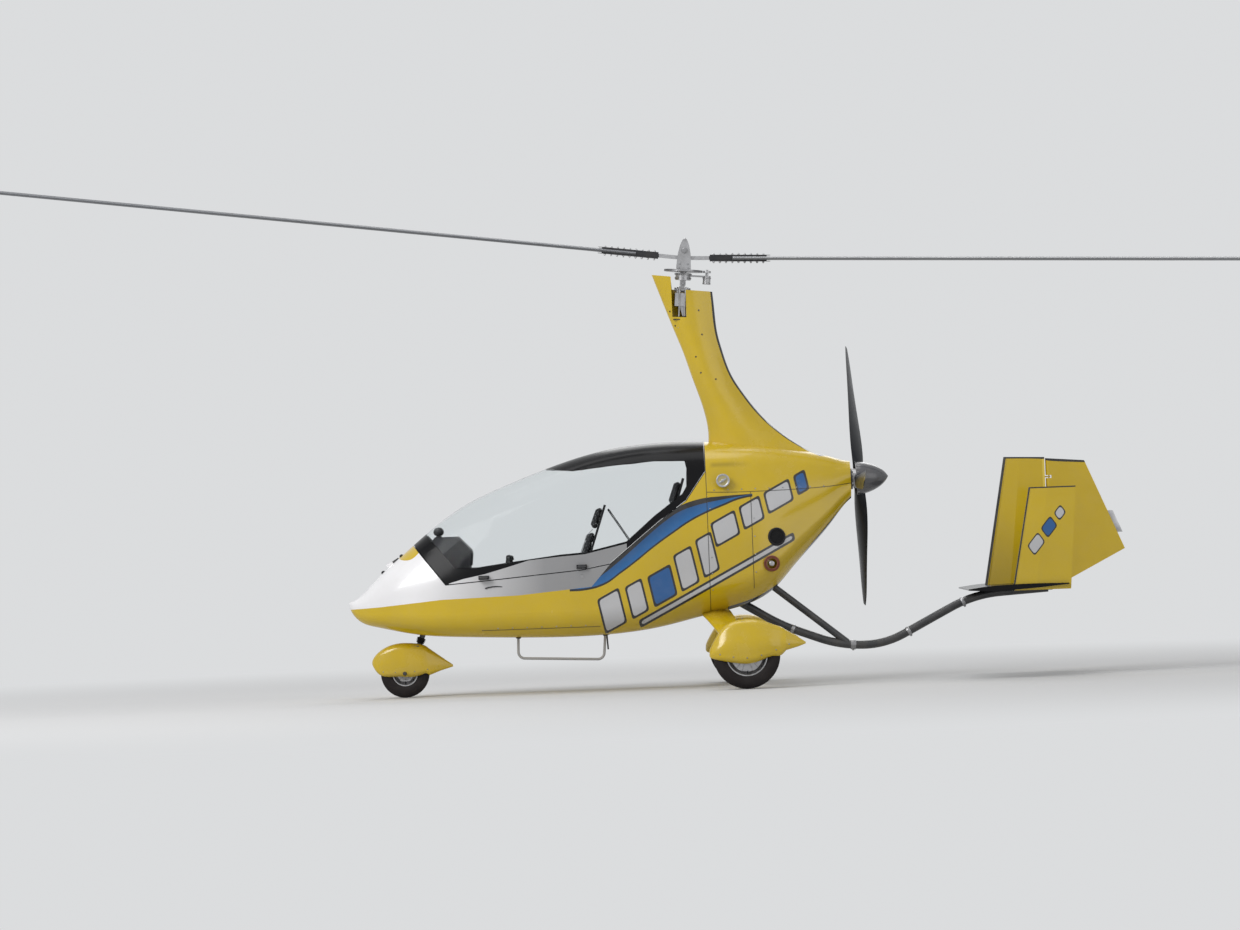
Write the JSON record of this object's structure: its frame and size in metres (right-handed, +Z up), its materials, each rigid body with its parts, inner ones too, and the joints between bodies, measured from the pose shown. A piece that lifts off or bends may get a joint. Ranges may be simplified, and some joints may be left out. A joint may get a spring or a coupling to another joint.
{
  "type": "two-seat gyrocopter",
  "caption": "Tandem two-seat gyrocopter with an enclosed cabin, side-hinged canopy, teetering rotor, pusher propeller, low tail boom with fins, and faired tricycle wheels.",
  "frame": {"origin": "on the floor below the middle of the rotor, centred on the whole object's length and width", "axes": "+X aft, towards the tail; +Y to starboard; +Z up"},
  "size_m": [8.7103, 1.8936, 3.2487],
  "materials": {
    "yellow_paint": "gloss",
    "white_paint": "gloss",
    "black_paint": "gloss",
    "black_trim": "satin",
    "glazing": "clear",
    "seat_shell": "satin",
    "seat_fabric": "woven",
    "dark_steel": "satin",
    "machined": "satin",
    "blade_grey": "satin",
    "propeller_black": "satin",
    "spinner_grey": "gloss",
    "rim": "satin",
    "tyre": "matte",
    "engine_metal": "cast"
  },
  "bodies": {
    "airframe": {"hull_tub": "yellow_paint", "hull_upper_shell": "white_paint", "hull_fittings": "dark_steel", "engine_cowl": "yellow_paint", "floor_and_firewall": "dark_steel", "engine": "engine_metal", "mast_post": "dark_steel", "mast_fairing": "yellow_paint", "body_fittings": "black_trim", "front_seat_shell": "seat_shell", "front_seat_cushions": "seat_fabric", "rear_seat_shell": "seat_shell", "rear_seat_cushions": "seat_fabric", "cockpit_controls": "black_trim", "main_leg_right": "yellow_paint", "main_leg_left": "yellow_paint", "main_fairing_right": "yellow_paint", "main_fairing_left": "yellow_paint", "tail_boom": "dark_steel", "boom_strut": "dark_steel", "stabilizer": "black_paint", "fin": "yellow_paint", "side_fins": "yellow_paint"},
    "canopy": {"canopy_side_rails": "white_paint", "canopy_frame": "black_paint", "canopy_glass": "glazing", "canopy_fittings": "black_trim"},
    "head_gimbal": {"head_gimbal": "machined"},
    "head_bearing": {"head_bearing_block": "machined"},
    "rotor_mount": {"rotor_tower": "machined"},
    "rotor": {"rotor_hub_bar": "machined", "rotor_blade_fore": "blade_grey", "rotor_blade_aft": "blade_grey"},
    "propeller": {"propeller_hub": "machined", "propeller_blades": "propeller_black", "spinner": "spinner_grey"},
    "nose_steering": {"nose_fork": "dark_steel", "nose_fairing": "yellow_paint"},
    "nose_wheel": {"nose_wheel_rim": "rim", "nose_wheel_tyre": "tyre"},
    "main_wheel_right": {"main_wheel_right_rim": "rim", "main_wheel_right_tyre": "tyre"},
    "main_wheel_left": {"main_wheel_left_rim": "rim", "main_wheel_left_tyre": "tyre"},
    "rudder": {"rudder": "yellow_paint"}
  },
  "joints": [
    {"name": "canopy_hinge", "type": "hinge", "parent": "airframe", "child": "canopy", "pos_m": [-1, 0.402, 0.745], "axis": [-1, 0, 0], "range_deg": [0, 75]},
    {"name": "head_roll", "type": "hinge", "parent": "airframe", "child": "head_gimbal", "pos_m": [-0.03483, 0, 2.46272], "axis": [0.9963, 0, -0.0854], "range_deg": [-9, 9]},
    {"name": "head_pitch", "type": "hinge", "parent": "head_gimbal", "child": "head_bearing", "pos_m": [-0.03141, 0, 2.50257], "axis": [0, 1, 0], "range_deg": [-6, 10]},
    {"name": "rotor_spin", "type": "hinge", "parent": "head_bearing", "child": "rotor_mount", "pos_m": [-0.018, 0, 2.659], "axis": [0.0854, 0, 0.9963], "continuous": true},
    {"name": "rotor_teeter", "type": "hinge", "parent": "rotor_mount", "child": "rotor", "pos_m": [-0.01416, 0, 2.70384], "axis": [0, 1, 0], "range_deg": [-8.5, 8.5]},
    {"name": "propeller_spin", "type": "hinge", "parent": "airframe", "child": "propeller", "pos_m": [1.01, 0, 1.255], "axis": [0.9994, 0, 0.0349], "continuous": true},
    {"name": "nose_steer", "type": "hinge", "parent": "airframe", "child": "nose_steering", "pos_m": [-1.723, 0, 0.385], "axis": [0.3746, 0, 0.9272], "range_deg": [-30, 30]},
    {"name": "nose_wheel_roll", "type": "hinge", "parent": "nose_steering", "child": "nose_wheel", "pos_m": [-1.841, 0, 0.151], "axis": [0, 1, 0], "continuous": true},
    {"name": "main_wheel_right_roll", "type": "hinge", "parent": "airframe", "child": "main_wheel_right", "pos_m": [0.263, 0.855, 0.203], "axis": [0, 1, 0], "continuous": true},
    {"name": "main_wheel_left_roll", "type": "hinge", "parent": "airframe", "child": "main_wheel_left", "pos_m": [0.263, -0.855, 0.203], "axis": [0, 1, 0], "continuous": true},
    {"name": "rudder_hinge", "type": "hinge", "parent": "airframe", "child": "rudder", "pos_m": [2.192, 0, 0.96], "axis": [0, 0, 1], "range_deg": [-25, 25]}
  ]
}
